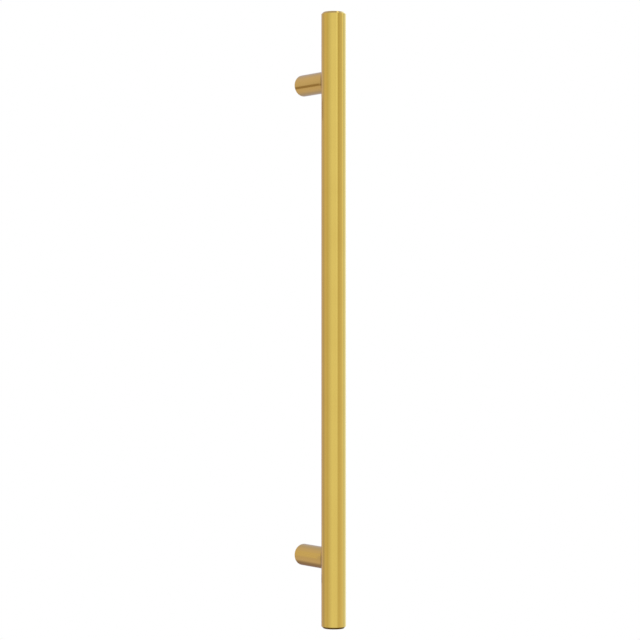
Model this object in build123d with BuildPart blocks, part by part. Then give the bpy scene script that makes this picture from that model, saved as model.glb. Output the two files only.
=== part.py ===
from build123d import *
import math
import os

# A straight round-bar cabinet pull, upright, in millimetres. The origin lies on the door's face, midway
# between the two mounting holes. +Z runs up along the bar and +Y points from the bar into the door.

# Bar
bar_diameter = 10.0
bar_length = 247.0
bar_end_chamfer = 0.8
bar_edge_round = 0.12

# Posts
hole_spacing = 192.0        # between the posts' axes
bar_standoff = 23.0         # from the door's face to the bar's axis
post_diameter = 8.7
post_edge_break = 0.2
saddle_gap = 0.02           # between the post's saddle and the bar

# Holes, whose threads are plain walls at the thread's outer radius
drill_point_angle = 118.0

# Mounting holes, open at the door's face
screw_hole_radius = 2.0     # M4
screw_hole_depth = 7.5
screw_hole_mouth = 0.35     # countersink at the opening

# Studs that join the posts to the bar
stud_hole_radius = 2.5      # M5
stud_hole_depth = 5.5       # in the bar, from its surface
stud_length = 10.0
stud_side_gap = 0.05        # between the stud and the walls of its holes
stud_end_gap = 0.5          # from each end of the stud to the end of its hole
stud_chamfer = 0.5
socket_width = 2.5          # across the flats
socket_depth = 2.5

bar_radius = bar_diameter / 2
post_radius = post_diameter / 2
stud_radius = stud_hole_radius - stud_side_gap
bar_back = bar_radius - bar_standoff
stud_front = bar_back - stud_hole_depth + stud_end_gap
stud_back = stud_front + stud_length
post_hole_depth = bar_standoff + stud_back + stud_end_gap     # from the bar's axis

bar_middle = Plane((0, -bar_standoff, 0), x_dir=(1, 0, 0), z_dir=(0, 0, 1))
post_heights = {"upper": hole_spacing / 2, "lower": -hole_spacing / 2}


def cut_blind_hole(mouth: Plane, radius: float, depth: float) -> None:
    """Cuts a drilled hole that ends in the drill's point. The mouth's plane faces out of the hole."""
    point = radius / math.tan(math.radians(drill_point_angle / 2))
    with Locations(mouth):
        Hole(radius, depth)
    with Locations(mouth.offset(-depth)):
        Cone(0, radius, point, align=(Align.CENTER, Align.CENTER, Align.MAX), mode=Mode.SUBTRACT)


# Bar
with BuildPart() as bar:
    with BuildSketch(bar_middle):
        Circle(bar_radius)
    extrude(amount=bar_length / 2, both=True)
    chamfer(bar.edges().filter_by(GeomType.CIRCLE), length=bar_end_chamfer)
    fillet(bar.edges().filter_by(GeomType.CIRCLE), radius=bar_edge_round)
    for post_height in post_heights.values():
        cut_blind_hole(Plane((0, bar_back, post_height), z_dir=(0, 1, 0)), stud_hole_radius, stud_hole_depth)

bar.part.label = "bar"

os.makedirs("parts", exist_ok=True)
export_step(bar.part, "parts/bar.step")

for place, post_height in post_heights.items():
    door_face = Plane((0, 0, post_height), z_dir=(0, 1, 0))
    bar_side = Plane((0, -bar_standoff, post_height), z_dir=(0, -1, 0))

    # Post, with a saddle that fits round the bar
    with BuildPart() as post:
        with BuildSketch(door_face):
            Circle(post_radius)
        extrude(amount=-bar_standoff)
        chamfer(post.faces().sort_by(Axis.Y)[-1].edges(), length=post_edge_break)
        with BuildSketch(bar_middle.offset(post_height)):
            Circle(bar_radius + saddle_gap)
        extrude(amount=post_diameter, both=True, mode=Mode.SUBTRACT)
        cut_blind_hole(bar_side, stud_hole_radius, post_hole_depth)
        cut_blind_hole(door_face, screw_hole_radius, screw_hole_depth)
        chamfer(post.faces().sort_by(Axis.Y)[-1].inner_wires().edges(), length=screw_hole_mouth)

    post.part.label = f"post_{place}"
    export_step(post.part, f"parts/post_{place}.step")

    # Headless stud, with a six-sided socket in the end that faces the door
    with BuildPart() as stud:
        with BuildSketch(door_face.offset(stud_back)):
            Circle(stud_radius)
        extrude(amount=-stud_length)
        chamfer(stud.edges().filter_by(GeomType.CIRCLE), length=stud_chamfer)
        with BuildSketch(door_face.offset(stud_back)):
            RegularPolygon(socket_width / 2, 6, major_radius=False)
        extrude(amount=-socket_depth, mode=Mode.SUBTRACT)

    stud.part.label = f"stud_{place}"
    export_step(stud.part, f"parts/stud_{place}.step")
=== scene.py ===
"""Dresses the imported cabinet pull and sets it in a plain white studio.

The frame's origin lies on the door's face, midway between the two mounting holes. +Z runs up along the bar
and +Y points from the bar into the door. Lengths are in metres and angles in degrees, unless a name says so.
"""

from __future__ import annotations

import logging
import math
from collections.abc import Callable
from dataclasses import dataclass
from enum import Enum

import bpy
from mathutils import Euler, Matrix, Vector

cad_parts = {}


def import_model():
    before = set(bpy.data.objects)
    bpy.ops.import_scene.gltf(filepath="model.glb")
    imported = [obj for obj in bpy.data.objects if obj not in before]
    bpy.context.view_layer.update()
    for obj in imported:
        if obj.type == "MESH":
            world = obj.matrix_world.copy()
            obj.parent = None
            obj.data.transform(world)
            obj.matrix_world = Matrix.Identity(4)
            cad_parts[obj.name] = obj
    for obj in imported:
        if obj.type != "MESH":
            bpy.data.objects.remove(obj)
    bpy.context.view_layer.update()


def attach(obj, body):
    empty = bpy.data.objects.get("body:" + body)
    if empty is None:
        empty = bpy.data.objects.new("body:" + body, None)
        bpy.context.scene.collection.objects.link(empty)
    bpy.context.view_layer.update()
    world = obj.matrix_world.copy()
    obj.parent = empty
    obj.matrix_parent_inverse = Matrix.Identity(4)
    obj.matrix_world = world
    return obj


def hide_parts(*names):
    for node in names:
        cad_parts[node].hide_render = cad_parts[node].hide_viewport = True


log = logging.getLogger("cabinet_pull")

MM = 0.001

Colour = tuple[float, float, float]

CLOSE = 1e-7                    # points nearer than this are one
NEAR = 0.01 * MM                # how far from its place a picked edge or face may lie
SHARP_FROM = 30.0               # edges that turn less are shaded smooth

BAR_AXIS = (0.0, -23 * MM)      # x and y
BAR_RADIUS = 5 * MM
POST_AXIS = (0.0, 96 * MM)      # x and the height above or below the middle
POST_SIDES = (("upper", 1.0), ("lower", -1.0))


class Slot(Enum):
    """The record's material slots."""

    GOLD = "gold"
    STEEL = "steel"


class Spindle(Enum):
    """The axis that a turned piece was spun about when it was polished."""

    BAR = BAR_AXIS
    POST = POST_AXIS


class Element(Enum):
    """What is picked of a mesh."""

    VERTEX = "VERT"
    EDGE = "EDGE"
    FACE = "FACE"


class Merge(Enum):
    """What is left of a piece that is combined with another shape."""

    BOTH = "UNION"
    SHARED = "INTERSECT"
    REST = "DIFFERENCE"


# Node trees


class NodeSketch:
    """A node tree that is written as plain calls."""

    def __init__(self, tree: bpy.types.NodeTree) -> None:
        """Empties the tree.

        Args:
            tree: The material's or the world's node tree.
        """
        tree.nodes.clear()
        self.tree = tree

    def add(self, kind: str, **settings: object) -> bpy.types.Node:
        """Adds a node.

        Args:
            kind: The node's Blender type, without its ShaderNode prefix.
            **settings: Values for the node's own properties.

        Returns:
            The new node.
        """
        node = self.tree.nodes.new("ShaderNode" + kind)
        for name, value in settings.items():
            setattr(node, name, value)
        return node

    def join(self, source: bpy.types.NodeSocket, target: bpy.types.NodeSocket) -> None:
        """Links an output to an input."""
        self.tree.links.new(source, target)

    def feed(self, socket: bpy.types.NodeSocket, value: object) -> None:
        """Puts a socket's output or a plain value into an input.

        Args:
            socket: The input.
            value: An output socket, a number or a colour.
        """
        if isinstance(value, bpy.types.NodeSocket):
            self.join(value, socket)
        else:
            socket.default_value = value

    def math(self, operation: str, *values: object) -> bpy.types.NodeSocket:
        """Adds a Math node.

        Args:
            operation: The node's operation.
            *values: Its inputs, each an output socket or a number.

        Returns:
            The node's output.
        """
        node = self.add("Math", operation=operation)
        for socket, value in zip(node.inputs, values):
            self.feed(socket, value)
        return node.outputs["Value"]

    def length(self, *values: object) -> bpy.types.NodeSocket:
        """Measures a vector.

        Args:
            *values: Its parts, each an output socket or a number.

        Returns:
            Its length.
        """
        vector = self.add("CombineXYZ")
        for socket, value in zip(vector.inputs, values):
            self.feed(socket, value)
        measure = self.add("VectorMath", operation="LENGTH")
        self.join(vector.outputs["Vector"], measure.inputs["Vector"])
        return measure.outputs["Value"]

    def spread(
        self, value: bpy.types.NodeSocket, low: float, high: float, start: float = 0.0, end: float = 1.0,
        smooth: bool = False,
    ) -> bpy.types.NodeSocket:
        """Maps a range of numbers onto another, held at its ends.

        Args:
            value: The number that is mapped.
            low: Where the old range starts.
            high: Where the old range ends.
            start: The answer at low.
            end: The answer at high.
            smooth: Whether the answer eases in and out.

        Returns:
            The mapped number.
        """
        node = self.add("MapRange", interpolation_type="SMOOTHSTEP" if smooth else "LINEAR")
        for name, number in (("From Min", low), ("From Max", high), ("To Min", start), ("To Max", end)):
            node.inputs[name].default_value = number
        self.join(value, node.inputs["Value"])
        return node.outputs["Result"]

    def noise(
        self, vector: bpy.types.NodeSocket, scale: float, detail: float, roughness: float = 0.5
    ) -> bpy.types.NodeSocket:
        """Adds a Noise Texture.

        Args:
            vector: The point that it reads.
            scale: Features to the unit of length.
            detail: Octaves of finer noise.
            roughness: How strong the finer octaves are.

        Returns:
            The noise, about 0.5 on average.
        """
        node = self.add("TexNoise")
        node.inputs["Scale"].default_value = scale
        node.inputs["Detail"].default_value = detail
        node.inputs["Roughness"].default_value = roughness
        self.join(vector, node.inputs["Vector"])
        return node.outputs["Fac"]

    def blend_colours(
        self, share: bpy.types.NodeSocket, first: object, second: object
    ) -> bpy.types.NodeSocket:
        """Mixes two colours.

        Args:
            share: The second colour's share.
            first: A colour or an output socket.
            second: A colour or an output socket.

        Returns:
            The mixed colour.
        """
        node = self.add("Mix", data_type="RGBA")
        self.join(share, node.inputs["Factor"])
        colours = [socket for socket in node.inputs if socket.type == "RGBA"]
        for socket, colour in zip(colours, (first, second)):
            self.feed(socket, colour if isinstance(colour, bpy.types.NodeSocket) else (*colour, 1.0))
        return next(socket for socket in node.outputs if socket.type == "RGBA")


def new_material(name: str) -> tuple[bpy.types.Material, NodeSketch, bpy.types.Node]:
    """Starts a material.

    Args:
        name: The material's name.

    Returns:
        The material, its node tree and its output node.
    """
    material = bpy.data.materials.new(name)
    material.use_nodes = True
    sketch = NodeSketch(material.node_tree)
    return material, sketch, sketch.add("OutputMaterial")


# Finishes


@dataclass(frozen=True)
class Metal:
    """A metal's colours and how dull it is."""

    colour: Colour
    deep_colour: Colour             # between the rings, and where the polish is thin
    worn_colour: Colour             # on the edges, where handling has rubbed them
    roughness: float
    roughness_spread: float


GOLD = Metal(
    colour=(0.724, 0.536, 0.128), deep_colour=(0.700, 0.512, 0.120), worn_colour=(0.80, 0.62, 0.20),
    roughness=0.115, roughness_spread=0.015,
)
CUT_GOLD = Metal(
    colour=GOLD.deep_colour, deep_colour=(0.560, 0.400, 0.095), worn_colour=GOLD.worn_colour,
    roughness=0.24, roughness_spread=0.05,
)
ZINC_PLATE = Metal(
    colour=(0.56, 0.57, 0.59), deep_colour=(0.44, 0.45, 0.47), worn_colour=(0.66, 0.66, 0.66),
    roughness=0.30, roughness_spread=0.06,
)


@dataclass(frozen=True)
class TurnedFinish:
    """The finish of spun and polished metal, with the fine rings that this leaves round its spindle."""

    name: str
    metal: Metal
    spindle: Spindle
    worn_edges: tuple[tuple[float | None, float], ...]      # circles: how far along, or None for all, and out
    seam_shade_reach: float = 0.0         # how far from the bar the painted shade in the joint reaches
    # how dark the painted shade in the joint is, as a share of the deep colour
    seam_shade_tone: float = 0.74
    ring_pitch: float = 0.09 * MM
    ring_depth: float = 0.3e-6
    ring_run: float = 12 * MM       # how far a ring keeps its depth as it goes round
    ring_share: float = 0.4         # of the change in colour, against the patches
    patch_size: float = 14 * MM
    tone_range: tuple[float, float] = (0.35, 0.62)      # of the noise, from the deep colour to the full one
    dull_range: tuple[float, float] = (0.3, 0.7)        # of the noise, from the least roughness to the most
    worn_reach: float = 0.16 * MM
    worn_core: float = 0.3          # share of that reach that is rubbed most
    worn_share: float = 0.7         # of the worn colour there
    worn_patch: float = 1.2 * MM
    worn_range: tuple[float, float] = (0.40, 0.60)      # of the noise, from untouched to worn
    worn_roughness: float = 0.24

    def material(self) -> bpy.types.Material:
        """Builds the finish.

        Returns:
            The material.
        """
        material, sketch, output = new_material(self.name)
        metal = self.metal
        place, along, out = self._turned_place(sketch)
        rings = self._rings(sketch, place, along, out)
        patches = sketch.noise(place, scale=1 / self.patch_size, detail=3.0)
        worn = self._wear(sketch, place, along, out)
        shader = sketch.add("BsdfPrincipled")
        shader.inputs["Metallic"].default_value = 1.0
        tone = sketch.spread(self._mingle(sketch, rings, patches, self.ring_share), *self.tone_range)
        colour = sketch.blend_colours(tone, metal.deep_colour, metal.colour)
        # Painted shade: the post is darkened next to the bar, standing in for the shadow in the joint
        if self.seam_shade_reach:
            shaded = tuple(self.seam_shade_tone * part for part in metal.deep_colour)
            colour = sketch.blend_colours(self._seam_shade(sketch, place), colour, shaded)
        colour = sketch.blend_colours(worn, colour, metal.worn_colour)
        least, most = metal.roughness - metal.roughness_spread, metal.roughness + metal.roughness_spread
        dullness = sketch.spread(self._mingle(sketch, rings, patches, 0.5), *self.dull_range, least, most)
        gap = sketch.math("SUBTRACT", self.worn_roughness, dullness)
        dullness = sketch.math("MULTIPLY_ADD", gap, worn, dullness)
        sketch.join(colour, shader.inputs["Base Color"])
        sketch.join(dullness, shader.inputs["Roughness"])
        bump = sketch.add("Bump")
        bump.inputs["Strength"].default_value = 1.0
        bump.inputs["Distance"].default_value = self.ring_depth
        sketch.join(rings, bump.inputs["Height"])
        sketch.join(bump.outputs["Normal"], shader.inputs["Normal"])
        sketch.join(shader.outputs["BSDF"], output.inputs["Surface"])
        return material

    def _mingle(
        self, sketch: NodeSketch, rings: bpy.types.NodeSocket, patches: bpy.types.NodeSocket, share: float
    ) -> bpy.types.NodeSocket:
        """Adds up the fine and the broad variation.

        Args:
            sketch: The material's node tree.
            rings: The fine rings.
            patches: The broad patches.
            share: The rings' share of the sum.

        Returns:
            The sum, from 0 to 1.
        """
        fine = sketch.math("MULTIPLY", rings, share)
        return sketch.math("ADD", fine, sketch.math("MULTIPLY", patches, 1 - share))

    def _turned_place(
        self, sketch: NodeSketch
    ) -> tuple[bpy.types.NodeSocket, bpy.types.NodeSocket, bpy.types.NodeSocket]:
        """Reads a point as a lathe would.

        Args:
            sketch: The material's node tree.

        Returns:
            The point itself, its distance along the spindle and its distance out from it.
        """
        place = sketch.add("TexCoord").outputs["Object"]
        parts = sketch.add("SeparateXYZ")
        sketch.join(place, parts.inputs["Vector"])
        x, y, z = (parts.outputs[name] for name in "XYZ")
        side = sketch.math("SUBTRACT", x, self.spindle.value[0])
        if self.spindle is Spindle.BAR:
            across, along = y, z
        else:
            across, along = sketch.math("ABSOLUTE", z), y
        return place, along, sketch.length(side, sketch.math("SUBTRACT", across, self.spindle.value[1]))

    def _seam_shade(self, sketch: NodeSketch, place: bpy.types.NodeSocket) -> bpy.types.NodeSocket:
        """Finds the joint with the bar, where shade is painted into the post's colour.

        Args:
            sketch: The material's node tree.
            place: The point.

        Returns:
            The painted shade's share: 1 in the joint, fading to 0 away from it.
        """
        parts = sketch.add("SeparateXYZ")
        sketch.join(place, parts.inputs["Vector"])
        behind = sketch.math("SUBTRACT", parts.outputs["Y"], BAR_AXIS[1])
        clear = sketch.math("SUBTRACT", sketch.length(parts.outputs["X"], behind), BAR_RADIUS)
        return sketch.spread(clear, 0.5 * self.seam_shade_reach, self.seam_shade_reach, 1.0, 0.0, smooth=True)

    def _wear(
        self, sketch: NodeSketch, place: bpy.types.NodeSocket, along: bpy.types.NodeSocket,
        out: bpy.types.NodeSocket,
    ) -> bpy.types.NodeSocket:
        """Finds where handling has rubbed the edges, in broken stretches.

        Args:
            sketch: The material's node tree.
            place: The point.
            along: Its distance along the spindle.
            out: Its distance out from the spindle.

        Returns:
            How worn it is, from 0 to worn_share.
        """
        nearest: object = 1.0
        along = sketch.math("ABSOLUTE", along)
        for edge_along, edge_out in self.worn_edges:
            off = sketch.math("ABSOLUTE", sketch.math("SUBTRACT", out, edge_out))
            if edge_along is not None:
                off = sketch.length(off, sketch.math("SUBTRACT", along, edge_along))
            nearest = sketch.math("MINIMUM", nearest, off)
        core, reach = self.worn_core * self.worn_reach, self.worn_reach
        rubbed = sketch.spread(nearest, core, reach, self.worn_share, 0.0, smooth=True)
        broken = sketch.noise(place, scale=1 / self.worn_patch, detail=4.0, roughness=0.6)
        return sketch.math("MULTIPLY", rubbed, sketch.spread(broken, *self.worn_range, smooth=True))

    def _rings(
        self, sketch: NodeSketch, place: bpy.types.NodeSocket, along: bpy.types.NodeSocket,
        out: bpy.types.NodeSocket,
    ) -> bpy.types.NodeSocket:
        """Makes the fine rings, which go round the barrel and lie one inside the other on an end.

        Args:
            sketch: The material's node tree.
            place: The point.
            along: Its distance along the spindle.
            out: Its distance out from the spindle.

        Returns:
            The rings' height, from 0 to 1.
        """
        slow = sketch.add("VectorMath", operation="SCALE")
        sketch.join(place, slow.inputs["Vector"])
        slow.inputs["Scale"].default_value = 1 / self.ring_run
        parts = sketch.add("SeparateXYZ")
        sketch.join(slow.outputs["Vector"], parts.inputs["Vector"])
        step = sketch.math("DIVIDE", sketch.math("ADD", along, out), self.ring_pitch)
        woven = sketch.add("CombineXYZ")
        sketch.join(parts.outputs["X"], woven.inputs["X"])
        sketch.join(parts.outputs["Y"], woven.inputs["Y"])
        sketch.join(step, woven.inputs["Z"])
        return sketch.noise(woven.outputs["Vector"], scale=1.0, detail=3.0, roughness=0.6)


# Modelling by hand


class Bench:
    """Holds one new piece while it is modelled about the world's origin, upright."""

    def __init__(self) -> None:
        """Clears the bench for the next primitive."""
        self.piece: bpy.types.Object | None = None
        bpy.ops.object.select_all(action="DESELECT")

    def take(self) -> None:
        """Takes the primitive that was just added."""
        self.piece = bpy.context.object

    def pick(self, element: Element, test: Callable[[Vector], bool]) -> None:
        """Selects vertices, edges or faces in edit mode by where they are.

        Args:
            element: What is selected.
            test: Tells from a vertex's place, or an edge's or face's middle, whether it is wanted.
        """
        bpy.ops.mesh.select_mode(type=element.value)
        bpy.ops.mesh.select_all(action="DESELECT")
        bpy.ops.object.mode_set(mode="OBJECT")
        mesh = self.piece.data
        if element is Element.VERTEX:
            for vertex in mesh.vertices:
                vertex.select = test(vertex.co)
        elif element is Element.EDGE:
            for edge in mesh.edges:
                ends = [mesh.vertices[index].co for index in edge.vertices]
                edge.select = test((ends[0] + ends[1]) / 2)
        else:
            for face in mesh.polygons:
                face.select = test(face.center)
        bpy.ops.object.mode_set(mode="EDIT")

    def modify(self, kind: str, **settings: object) -> None:
        """Adds a modifier and applies it.

        Args:
            kind: The modifier's Blender type.
            **settings: Values for its properties.
        """
        modifier = self.piece.modifiers.new(kind.title(), kind)
        for name, value in settings.items():
            setattr(modifier, name, value)
        bpy.context.view_layer.objects.active = self.piece
        bpy.ops.object.modifier_apply(modifier=modifier.name)

    def combine(self, merge: Merge, other: bpy.types.Object) -> None:
        """Joins, trims or cuts the piece with another shape, which is used up.

        Args:
            merge: What is left.
            other: The other shape.
        """
        self.modify("BOOLEAN", operation=merge.value, object=other, solver="EXACT")
        bpy.data.objects.remove(other, do_unlink=True)

    def finish(self) -> None:
        """Joins points that fall together, turns every face outward and shades the piece."""
        bpy.ops.object.select_all(action="DESELECT")
        self.piece.select_set(True)
        bpy.context.view_layer.objects.active = self.piece
        bpy.ops.object.mode_set(mode="EDIT")
        bpy.ops.mesh.select_all(action="SELECT")
        bpy.ops.mesh.remove_doubles(threshold=CLOSE)
        bpy.ops.mesh.normals_make_consistent(inside=False)
        bpy.ops.object.mode_set(mode="OBJECT")
        bpy.ops.object.shade_smooth_by_angle(angle=math.radians(SHARP_FROM))

    def copy_to(self, name: str, turn: Matrix, place: Vector) -> bpy.types.Object:
        """Puts a copy of the piece in its place, which its own mesh holds.

        Args:
            name: The copy's name.
            turn: How it is turned from upright.
            place: Where its middle goes.

        Returns:
            The copy.
        """
        copied = self.piece.copy()
        copied.data = self.piece.data.copy()
        copied.name = name
        copied.data.name = name
        copied.data.transform(Matrix.Translation(place) @ turn)
        bpy.context.collection.objects.link(copied)
        return copied

    def clear(self) -> None:
        """Takes the model away once its copies are made."""
        bpy.data.objects.remove(self.piece, do_unlink=True)
        self.piece = None


LYING = Matrix.Rotation(math.radians(-90), 4, "X")    # from upright to pointing into the door


@dataclass(frozen=True)
class ScrewThread:
    """One ridge that winds round an upright axis as a right-hand thread."""

    pitch: float
    base_radius: float              # where the ridge stands on its wall or core
    crest_radius: float
    base_width: float               # as a share of the pitch
    crest_width: float
    length: float
    steps: int = 40                 # round one turn

    def wind(self, bench: Bench) -> None:
        """Models the ridge on the bench, its middle at the origin and its ends cut square.

        Args:
            bench: The bench, with nothing on it yet.
        """
        turns = math.ceil(self.length / self.pitch) + 2
        bpy.ops.mesh.primitive_plane_add(size=1.0, rotation=(math.pi / 2, 0.0, 0.0))
        bench.take()
        bpy.ops.object.transform_apply(location=False, rotation=True, scale=False)
        bpy.ops.object.mode_set(mode="EDIT")
        depth = self.crest_radius - self.base_radius
        bpy.ops.transform.resize(value=(abs(depth), 1.0, self.base_width * self.pitch))
        middle = (self.crest_radius + self.base_radius) / 2
        bpy.ops.transform.translate(value=(middle, 0.0, -turns * self.pitch / 2))
        bench.pick(Element.VERTEX, lambda place: (place.x - middle) * depth > 0)
        bpy.ops.transform.resize(value=(1.0, 1.0, self.crest_width / self.base_width))
        bpy.ops.mesh.select_all(action="SELECT")
        bpy.ops.mesh.delete(type="ONLY_FACE")
        bpy.ops.object.mode_set(mode="OBJECT")
        bench.modify(
            "SCREW", axis="Z", angle=math.tau, screw_offset=self.pitch, iterations=turns, steps=self.steps,
            render_steps=self.steps, use_normal_calculate=True,
        )
        bpy.ops.object.mode_set(mode="EDIT")
        for side in (-1.0, 1.0):
            bpy.ops.mesh.select_all(action="SELECT")
            bpy.ops.mesh.bisect(
                plane_co=(0.0, 0.0, side * self.length / 2), plane_no=(0.0, 0.0, side), use_fill=True,
                clear_outer=True, threshold=CLOSE,
            )
        bpy.ops.mesh.select_all(action="SELECT")
        bpy.ops.mesh.remove_doubles(threshold=CLOSE)
        bpy.ops.mesh.normals_make_consistent(inside=False)
        bpy.ops.object.mode_set(mode="OBJECT")


def dress(node_name: str, material: bpy.types.Material) -> bpy.types.Object:
    """Gives a CAD node a finish in place of its plain colour.

    Args:
        node_name: The node's name.
        material: The finish.

    Returns:
        The node.
    """
    node = bpy.data.objects[node_name]
    for slot in node.material_slots:
        slot.material = material
    return node


def show(
    piece: bpy.types.Object, material: bpy.types.Material, replaced: str | None = None
) -> bpy.types.Object:
    """Puts a modelled piece into the object.

    Args:
        piece: The piece.
        material: Its finish.
        replaced: The CAD node that it stands for, if it does.

    Returns:
        The piece.
    """
    piece.data.materials.clear()
    piece.data.materials.append(material)
    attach(piece, "root")
    if replaced:
        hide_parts(replaced)
    return piece


# The pull's sub-assemblies


@dataclass
class Bar:
    """The round bar that the hand takes hold of."""

    end: float = 123.5 * MM                 # above or below the middle
    end_chamfer: float = 0.8 * MM

    def build(self) -> list[bpy.types.Object]:
        """Dresses the bar's solid.

        Returns:
            The bar.
        """
        rims = ((self.end, BAR_RADIUS - self.end_chamfer), (self.end - self.end_chamfer, BAR_RADIUS))
        return [dress("bar", TurnedFinish("gold_bar", GOLD, Spindle.BAR, rims).material())]


@dataclass
class Posts:
    """The two posts, with the mounting thread cut in the end that stands on the door."""

    radius: float = 4.35 * MM
    mouth_radius: float = 2.35 * MM         # of the countersink, at the door's face
    # how far the painted shade in the joint with the bar reaches
    seam_shade_reach: float = 0.65 * MM
    thread_pitch: float = 0.7 * MM
    thread_wall: float = 2.04 * MM
    thread_crest: float = 1.63 * MM
    thread_start: float = 0.42 * MM         # inside the door's face, past the countersink
    thread_end: float = 7.1 * MM

    def build(self) -> list[bpy.types.Object]:
        """Dresses the posts' solids and cuts their threads.

        Returns:
            The posts and the threads.
        """
        rims = ((0.0, self.radius), (0.0, self.mouth_radius))
        metal = TurnedFinish("gold_post", GOLD, Spindle.POST, rims, self.seam_shade_reach).material()
        crest = ((None, self.thread_crest),)
        cut_metal = TurnedFinish("gold_thread", CUT_GOLD, Spindle.POST, crest).material()
        bench = self._thread()
        middle = -(self.thread_start + self.thread_end) / 2
        pieces = []
        for name, side in POST_SIDES:
            pieces.append(dress(f"post_{name}", metal))
            place = Vector((0.0, middle, side * POST_AXIS[1]))
            pieces.append(show(bench.copy_to(f"screw_thread_{name}", LYING, place), cut_metal))
        bench.clear()
        return pieces

    def _thread(self) -> Bench:
        """Models the thread in a post.

        Returns:
            The bench with the thread on it.
        """
        bench = Bench()
        thread = ScrewThread(
            pitch=self.thread_pitch, base_radius=self.thread_wall, crest_radius=self.thread_crest,
            base_width=0.90, crest_width=0.25, length=self.thread_end - self.thread_start,
        )
        thread.wind(bench)
        bench.finish()
        return bench


@dataclass
class Studs:
    """The two headless studs that hold the posts to the bar, hidden in the joints."""

    radius: float = 2.43 * MM
    spare: float = 0.01 * MM                # by which the thread is wound too large before it is trimmed
    length: float = 9.98 * MM
    middle: float = -18 * MM
    end_chamfer: float = 0.5 * MM
    core_radius: float = 2.02 * MM
    thread_pitch: float = 0.8 * MM
    thread_foot: float = 0.05 * MM          # how deep the thread's foot and ends lie inside the stud
    socket_width: float = 2.5 * MM          # across its six flats
    socket_depth: float = 2.5 * MM
    drill_rim: float = 0.25 * MM            # round the drill's point at the socket's end
    drill_depth: float = 0.4 * MM
    drill_tip: float = 0.15                 # as a share of the point's width

    @property
    def socket_corner(self) -> float:
        """The socket's radius at its six corners."""
        return self.socket_width / 2 / math.cos(math.radians(30))

    def build(self) -> list[bpy.types.Object]:
        """Models both studs and puts them in the joints.

        Returns:
            The studs.
        """
        rims = ((None, self.radius), (-self.middle - self.length / 2, self.socket_corner))
        metal = TurnedFinish("zinc_steel", ZINC_PLATE, Spindle.POST, rims).material()
        bench = self._stud()
        pieces = []
        for name, side in POST_SIDES:
            place = Vector((0.0, self.middle, side * POST_AXIS[1]))
            stud = bench.copy_to(f"joint_stud_{name}", LYING, place)
            pieces.append(show(stud, metal, f"stud_{name}"))
        bench.clear()
        return pieces

    def _stud(self) -> Bench:
        """Models a stud with its socket at the top.

        Returns:
            The bench with the stud on it.
        """
        bench = Bench()
        thread = ScrewThread(
            pitch=self.thread_pitch, base_radius=self.core_radius - self.thread_foot,
            crest_radius=self.radius + self.spare, base_width=0.88, crest_width=0.13,
            length=self.length - 2 * self.thread_foot,
        )
        thread.wind(bench)
        bench.combine(Merge.BOTH, self._rod(self.core_radius, 0.0))
        bench.combine(Merge.SHARED, self._rod(self.radius, self.end_chamfer))
        bench.combine(Merge.REST, self._socket())
        bench.finish()
        return bench

    def _rod(self, radius: float, chamfer: float) -> bpy.types.Object:
        """Models a plain rod as long as the stud.

        Args:
            radius: Its radius.
            chamfer: The chamfer at its ends, or 0 for none.

        Returns:
            The rod.
        """
        bench = Bench()
        bpy.ops.mesh.primitive_cylinder_add(vertices=64, radius=radius, depth=self.length)
        bench.take()
        if chamfer:
            bpy.ops.object.mode_set(mode="EDIT")
            bench.pick(Element.EDGE, lambda place: abs(abs(place.z) - self.length / 2) < NEAR)
            bpy.ops.mesh.bevel(offset=chamfer, segments=1, affect="EDGES")
            bpy.ops.object.mode_set(mode="OBJECT")
        return bench.piece

    def _socket(self) -> bpy.types.Object:
        """Models the six-sided socket as the shape that it takes out, with a shallow point at its end.

        Returns:
            The shape.
        """
        bench = Bench()
        top = self.length / 2
        bpy.ops.mesh.primitive_cylinder_add(
            vertices=6, radius=self.socket_corner, depth=2 * self.socket_depth, location=(0.0, 0.0, top)
        )
        bench.take()
        bpy.ops.object.transform_apply(location=True, rotation=False, scale=False)
        bpy.ops.object.mode_set(mode="EDIT")
        bench.pick(Element.FACE, lambda place: abs(place.z - (top - self.socket_depth)) < NEAR)
        bpy.ops.mesh.inset(thickness=self.drill_rim)
        bpy.ops.mesh.extrude_region_move(TRANSFORM_OT_translate={"value": (0.0, 0.0, -self.drill_depth)})
        bpy.ops.transform.resize(value=(self.drill_tip, self.drill_tip, 1.0))
        bpy.ops.object.mode_set(mode="OBJECT")
        return bench.piece


# The studio


def show_in_polish_only(fitting: bpy.types.Object) -> None:
    """Leaves a fitting of the studio to be seen in reflections alone.

    Args:
        fitting: The tent or a card.
    """
    fitting.visible_camera = False
    fitting.visible_diffuse = False
    fitting.visible_shadow = False
    fitting.visible_transmission = False


@dataclass(frozen=True)
class WallTone:
    """How bright the tent's wall is in one direction, high up and low down."""

    turn: float                     # from the direction of the camera, positive to its right
    high: Colour
    low: Colour


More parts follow.
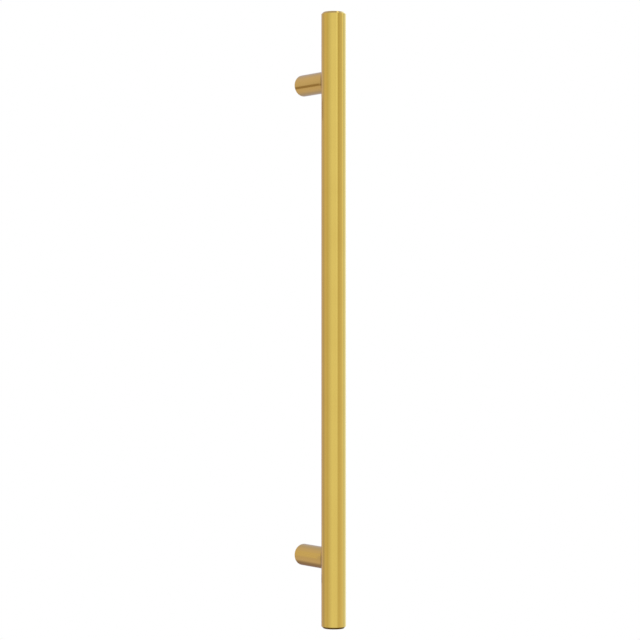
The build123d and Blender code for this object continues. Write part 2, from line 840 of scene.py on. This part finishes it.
# Graded as soft boxes and grey flags leave it: darker to the left, one flag and a bright edge to the right
WALL_TONES = (
    WallTone(-180, (0.56, 0.53, 0.66), (0.48, 0.45, 0.58)),
    WallTone(-160, (0.58, 0.53, 0.66), (0.50, 0.44, 0.58)),
    WallTone(-145, (0.66, 0.57, 0.70), (0.64, 0.54, 0.66)),
    WallTone(-130, (0.73, 0.62, 0.72), (0.70, 0.58, 0.68)),
    WallTone(-115, (0.73, 0.62, 0.74), (0.69, 0.57, 0.67)),
    WallTone(-110, (0.58, 0.53, 0.66), (0.50, 0.46, 0.62)),
    WallTone(-104, (0.66, 0.60, 0.66), (0.55, 0.51, 0.62)),
    WallTone(-96, (0.78, 0.69, 0.66), (0.70, 0.63, 0.66)),
    WallTone(-84, (0.84, 0.72, 0.66), (0.78, 0.69, 0.66)),
    WallTone(-72, (0.80, 0.71, 0.60), (0.78, 0.69, 0.60)),
    WallTone(-61, (0.74, 0.67, 0.54), (0.71, 0.64, 0.53)),
    WallTone(-51, (0.79, 0.74, 0.69), (0.79, 0.71, 0.68)),
    WallTone(-31, (0.885, 0.885, 0.885), (0.88, 0.86, 0.86)),
    WallTone(-21, (0.955, 0.965, 0.955), (0.94, 0.935, 0.935)),
    WallTone(-12, (0.99, 0.995, 1.00), (0.985, 0.985, 0.98)),
    WallTone(6, (0.98, 0.99, 1.00), (0.965, 0.955, 0.96)),
    WallTone(18, (0.98, 0.98, 1.00), (0.965, 0.955, 0.96)),
    WallTone(26, (1.08, 1.13, 1.15), (0.95, 0.95, 0.95)),
    WallTone(34, (1.02, 1.03, 1.03), (0.85, 0.83, 0.80)),
    WallTone(40, (0.63, 0.55, 0.38), (0.79, 0.72, 0.63)),
    WallTone(52, (0.72, 0.66, 0.52), (0.77, 0.70, 0.62)),
    WallTone(66, (0.76, 0.70, 0.68), (0.83, 0.76, 0.74)),
    WallTone(80, (0.80, 0.76, 0.78), (0.89, 0.84, 0.84)),
    WallTone(88, (1.12, 1.12, 1.10), (0.90, 0.89, 0.92)),
    WallTone(96, (1.00, 1.02, 1.00), (0.88, 0.88, 0.92)),
    WallTone(103, (0.66, 0.71, 1.14), (0.80, 0.82, 1.15)),
    WallTone(118, (0.98, 1.04, 1.20), (0.92, 0.98, 1.10)),
    WallTone(140, (1.24, 1.40, 1.80), (1.18, 1.32, 1.70)),
    WallTone(170, (1.24, 1.40, 1.80), (1.10, 1.24, 1.60)),
    WallTone(180, (0.56, 0.53, 0.66), (0.48, 0.45, 0.58)),
)


@dataclass(frozen=True)
class LightTent:
    """A pale tent round the object, seen only in its polish."""

    facing: float                   # the direction of the camera from the object, counterclockwise from +X
    radius: float = 1.2
    band: float = 0.29              # heights between which the wall turns from its low to its high tones
    wall_top: float = 38.0          # elevation up to which the wall keeps its tones
    wall_foot: float = -36.0
    cap: float = 65.0               # elevation beyond which the ceiling, and the ground below, has one tone
    ceiling: Colour = (0.56, 0.53, 0.75)
    ground: Colour = (0.62, 0.56, 0.50)
    strip_tilt: float = 15.0        # a bright strip across the ceiling, to the right of straight up
    strip_half: float = 3.0
    strip_fade: float = 0.4         # share of its half width over which it fades, each way
    strip_rise: tuple[float, float] = (50.0, 60.0)      # elevations over which it begins
    strip_light: Colour = (1.35, 1.35, 1.35)

    def build(self) -> bpy.types.Object:
        """Sets the tent up.

        Returns:
            The tent.
        """
        bpy.ops.object.select_all(action="DESELECT")
        bpy.ops.mesh.primitive_uv_sphere_add(segments=64, ring_count=32, radius=self.radius)
        tent = bpy.context.object
        tent.name = "light_tent"
        tent.rotation_euler = Euler((0.0, 0.0, math.radians(self.facing)))
        tent.data.materials.append(self._cloth())
        show_in_polish_only(tent)
        return tent

    def _cloth(self) -> bpy.types.Material:
        """Builds the tent's glow.

        Returns:
            The material.
        """
        material, sketch, output = new_material("tent_cloth")
        parts = sketch.add("SeparateXYZ")
        sketch.join(sketch.add("TexCoord").outputs["Object"], parts.inputs["Vector"])
        x, y, z = (parts.outputs[name] for name in "XYZ")
        turn = sketch.spread(sketch.math("ARCTAN2", y, x), -math.pi, math.pi)
        height = sketch.spread(z, -self.band, self.band)
        lit = sketch.blend_colours(
            height,
            self._ramp(sketch, turn, [(tone.turn, tone.low) for tone in WALL_TONES]),
            self._ramp(sketch, turn, [(tone.turn, tone.high) for tone in WALL_TONES]),
        )
        rise = sketch.math("ARCSINE", sketch.math("DIVIDE", z, self.radius))
        above = sketch.spread(rise, math.radians(self.wall_top), math.radians(self.cap), smooth=True)
        below = sketch.spread(rise, math.radians(self.wall_foot), math.radians(-self.cap), smooth=True)
        lit = sketch.blend_colours(above, lit, self.ceiling)
        lit = sketch.blend_colours(below, lit, self.ground)
        tilt = sketch.math("ARCTAN2", y, z)
        off_strip = sketch.math("ABSOLUTE", sketch.math("SUBTRACT", tilt, math.radians(self.strip_tilt)))
        inner, outer = (math.radians(self.strip_half * (1 + side * self.strip_fade)) for side in (-1, 1))
        on_strip = sketch.spread(off_strip, inner, outer, 1.0, 0.0, smooth=True)
        overhead = sketch.spread(rise, *(math.radians(edge) for edge in self.strip_rise), smooth=True)
        lit = sketch.blend_colours(sketch.math("MULTIPLY", on_strip, overhead), lit, self.strip_light)
        glow = sketch.add("Emission")
        sketch.join(lit, glow.inputs["Color"])
        sketch.join(glow.outputs["Emission"], output.inputs["Surface"])
        return material

    def _ramp(
        self, sketch: NodeSketch, turn: bpy.types.NodeSocket, lights: list[tuple[float, Colour]]
    ) -> bpy.types.NodeSocket:
        """Grades the wall all the way round.

        Args:
            sketch: The tent's node tree.
            turn: The direction, from 0 to 1 once round.
            lights: Directions in degrees with their light.

        Returns:
            The wall's light.
        """
        ramp = sketch.add("ValToRGB")
        steps = ramp.color_ramp.elements
        while len(steps) < len(lights):
            steps.new(0.5)
        for step, (degrees, light) in zip(steps, lights):
            step.position = (degrees + 180) / 360
            step.color = (*light, 1.0)
        sketch.join(turn, ramp.inputs["Fac"])
        return ramp.outputs["Color"]


@dataclass(frozen=True)
class StudioCard:
    """A flat card close to the object, which shows in one place in its polish."""

    name: str
    centre: tuple[float, float, float]
    facing: tuple[float, float, float]
    size: tuple[float, float]
    soft_edge: tuple[float, float]
    light: Colour
    is_round: bool = False

    def build(self) -> bpy.types.Object:
        """Hangs the card.

        Returns:
            The card.
        """
        bpy.ops.object.select_all(action="DESELECT")
        bpy.ops.mesh.primitive_plane_add(size=1.0, location=self.centre)
        card = bpy.context.object
        card.name = self.name
        card.rotation_euler = Vector(self.facing).to_track_quat("Z", "Y").to_euler()
        for vertex in card.data.vertices:
            vertex.co.x *= self.size[0]
            vertex.co.y *= self.size[1]
        card.data.materials.append(self._board())
        show_in_polish_only(card)
        return card

    def _board(self) -> bpy.types.Material:
        """Builds the card's tone, which fades out towards its edges.

        Returns:
            The material.
        """
        material, sketch, output = new_material(self.name)
        parts = sketch.add("SeparateXYZ")
        sketch.join(sketch.add("TexCoord").outputs["Object"], parts.inputs["Vector"])
        if self.is_round:
            away = [sketch.length(parts.outputs["X"], parts.outputs["Y"])]
        else:
            away = [sketch.math("ABSOLUTE", parts.outputs[axis]) for axis in "XY"]
        cover: object = 1.0
        for distance, extent, soft in zip(away, self.size, self.soft_edge):
            fade = sketch.spread(distance, extent / 2 - soft, extent / 2, 1.0, 0.0, smooth=True)
            cover = sketch.math("MULTIPLY", cover, fade)
        glow = sketch.add("Emission")
        glow.inputs["Color"].default_value = (*self.light, 1.0)
        mix = sketch.add("MixShader")
        sketch.feed(mix.inputs["Fac"], cover)
        sketch.join(sketch.add("BsdfTransparent").outputs["BSDF"], mix.inputs[1])
        sketch.join(glow.outputs["Emission"], mix.inputs[2])
        sketch.join(mix.outputs["Shader"], output.inputs["Surface"])
        return material


TO_THE_RIGHT = (1.0, 0.0, 0.0)
UPWARDS = (0.0, 0.0, 1.0)

# Held close, so that each one shows in one place only: as the dark line along the upper post, as the light
# line along the lower one and as the shade beneath it, and as the dark rim of the bar's lower end
REFLECTED_CARDS = (
    StudioCard(
        "line_card", centre=(-19 * MM, 17.3 * MM, 88.2 * MM), facing=TO_THE_RIGHT, size=(27 * MM, 12.6 * MM),
        soft_edge=(1.5 * MM, 3.8 * MM), light=(0.39, 0.28, 0.24),
    ),
    StudioCard(
        "glint_card", centre=(-12.6 * MM, 7 * MM, -91.5 * MM), facing=TO_THE_RIGHT, size=(25 * MM, 16 * MM),
        soft_edge=(1 * MM, 3.5 * MM), light=(0.76, 0.65, 0.65),
    ),
    StudioCard(
        "shade_card", centre=(3.5 * MM, 7 * MM, -107 * MM), facing=UPWARDS, size=(32 * MM, 32 * MM),
        soft_edge=(11 * MM, 4 * MM), light=(0.31, 0.23, 0.25),
    ),
    StudioCard(
        "foot_card", centre=(*BAR_AXIS, -126 * MM), facing=UPWARDS, size=(18 * MM, 18 * MM),
        soft_edge=(3 * MM, 3 * MM), light=(0.12, 0.09, 0.06), is_round=True,
    ),
)


@dataclass
class StudioFloor:
    """A plain pale floor that fades into the white background further out, and is clear from below."""

    height: float = -0.30
    reach: float = 3.0
    fade_start: float = 0.30
    fade_end: float = 0.50
    colour: Colour = (0.88, 0.88, 0.88)

    def build(self) -> bpy.types.Object:
        """Lays the floor.

        Returns:
            The floor.
        """
        bpy.ops.object.select_all(action="DESELECT")
        bpy.ops.mesh.primitive_plane_add(size=2 * self.reach, location=(0.0, 0.0, self.height))
        floor = bpy.context.object
        floor.name = "studio_floor"
        material, sketch, output = new_material("studio_floor")
        paint = sketch.add("BsdfDiffuse")
        paint.inputs["Color"].default_value = (*self.colour, 1.0)
        away = sketch.add("VectorMath", operation="LENGTH")
        sketch.join(sketch.add("TexCoord").outputs["Object"], away.inputs["Vector"])
        white = sketch.add("Emission")
        mix = sketch.add("MixShader")
        fade = sketch.spread(away.outputs["Value"], self.fade_start, self.fade_end, smooth=True)
        seen = sketch.add("LightPath").outputs["Is Camera Ray"]
        sketch.join(sketch.math("MULTIPLY", fade, seen), mix.inputs["Fac"])
        sketch.join(paint.outputs["BSDF"], mix.inputs[1])
        sketch.join(white.outputs["Emission"], mix.inputs[2])
        from_below = sketch.add("MixShader")
        sketch.join(sketch.add("NewGeometry").outputs["Backfacing"], from_below.inputs["Fac"])
        sketch.join(mix.outputs["Shader"], from_below.inputs[1])
        sketch.join(sketch.add("BsdfTransparent").outputs["BSDF"], from_below.inputs[2])
        sketch.join(from_below.outputs["Shader"], output.inputs["Surface"])
        floor.data.materials.append(material)
        floor.visible_glossy = False
        return floor


@dataclass(frozen=True)
class SoftBox:
    """A large soft lamp that lights what is matt, while the tent stands for it in the metal."""

    name: str
    place: tuple[float, float, float]
    aim: tuple[float, float, float]
    size: float
    watts: float

    def build(self) -> bpy.types.Object:
        """Hangs the lamp.

        Returns:
            The lamp.
        """
        data = bpy.data.lights.new(self.name, "AREA")
        data.shape = "SQUARE"
        data.size = self.size
        data.energy = self.watts
        lamp = bpy.data.objects.new(self.name, data)
        lamp.location = self.place
        lamp.rotation_euler = (Vector(self.aim) - lamp.location).to_track_quat("-Z", "Y").to_euler()
        lamp.visible_glossy = False
        lamp.visible_camera = False
        bpy.context.collection.objects.link(lamp)
        return lamp


SOFT_BOXES = (
    SoftBox("key_lamp", place=(-0.7, -0.6, 1.3), aim=(0.0, 0.0, -0.15), size=0.25, watts=9.5),
    SoftBox("fill_lamp", place=(1.1, -0.9, 0.9), aim=(0.0, 0.0, -0.15), size=1.0, watts=4.0),
)


@dataclass
class StudioCamera:
    """The camera, fitted to the outline of the pull in a square picture."""

    turn: float = -32.49
    distance: float = 0.880
    aside: float = 5.53 * MM        # how far the bar stands to the right of the view's middle
    lift: float = 0.07 * MM
    lens: float = 123.4             # in millimetres, as the sensor is
    sensor: float = 36.0

    @property
    def forward(self) -> Vector:
        """The direction that the camera looks in."""
        turn = math.radians(self.turn)
        return Vector((-math.sin(turn), math.cos(turn), 0.0))

    @property
    def facing(self) -> float:
        """The direction of the camera from the object, counterclockwise from +X."""
        return math.degrees(math.atan2(-self.forward.y, -self.forward.x))

    def build(self) -> bpy.types.Object:
        """Sets the camera up and makes it the scene's own.

        Returns:
            The camera.
        """
        data = bpy.data.cameras.new("camera")
        data.lens = self.lens
        data.sensor_width = self.sensor
        data.clip_start = 0.01
        data.clip_end = 50.0
        camera = bpy.data.objects.new("camera", data)
        right = self.forward.cross(Vector((0.0, 0.0, 1.0)))
        aim = Vector((*BAR_AXIS, self.lift)) - right * self.aside
        camera.location = aim - self.forward * self.distance
        camera.rotation_euler = self.forward.to_track_quat("-Z", "Y").to_euler()
        bpy.context.collection.objects.link(camera)
        bpy.context.scene.camera = camera
        return camera


@dataclass
class WhiteWorld:
    """The white background, at full white for the camera and for metal, and plainer as light."""

    plain: float = 0.75

    def build(self) -> None:
        """Lights the world."""
        world = bpy.data.worlds.new("studio_white")
        bpy.context.scene.world = world
        world.use_nodes = True
        sketch = NodeSketch(world.node_tree)
        path = sketch.add("LightPath")
        seen = sketch.math("MAXIMUM", path.outputs["Is Camera Ray"], path.outputs["Is Glossy Ray"])
        seen = sketch.math("MAXIMUM", seen, path.outputs["Is Transmission Ray"])
        mix = sketch.add("MixShader")
        sketch.join(seen, mix.inputs["Fac"])
        for strength, socket in ((self.plain, mix.inputs[1]), (1.0, mix.inputs[2])):
            background = sketch.add("Background")
            background.inputs["Color"].default_value = (1.0, 1.0, 1.0, 1.0)
            background.inputs["Strength"].default_value = strength
            sketch.join(background.outputs["Background"], socket)
        output = sketch.add("OutputWorld")
        sketch.join(mix.outputs["Shader"], output.inputs["Surface"])


def main() -> None:
    """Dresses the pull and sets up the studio."""
    logging.basicConfig(level=logging.INFO, format="%(name)s: %(message)s")
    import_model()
    bpy.context.scene.view_settings.view_transform = "Standard"

    for assembly in (Bar(), Posts(), Studs()):
        for piece in assembly.build():
            log.info("%s: %d faces, %s", piece.name, len(piece.data.polygons), piece.active_material.name)

    WhiteWorld().build()
    camera = StudioCamera()
    for fitting in (camera, StudioFloor(), LightTent(camera.facing), *SOFT_BOXES, *REFLECTED_CARDS):
        log.info("%s is set up", fitting.build().name)


if __name__ == "__main__":
    main()
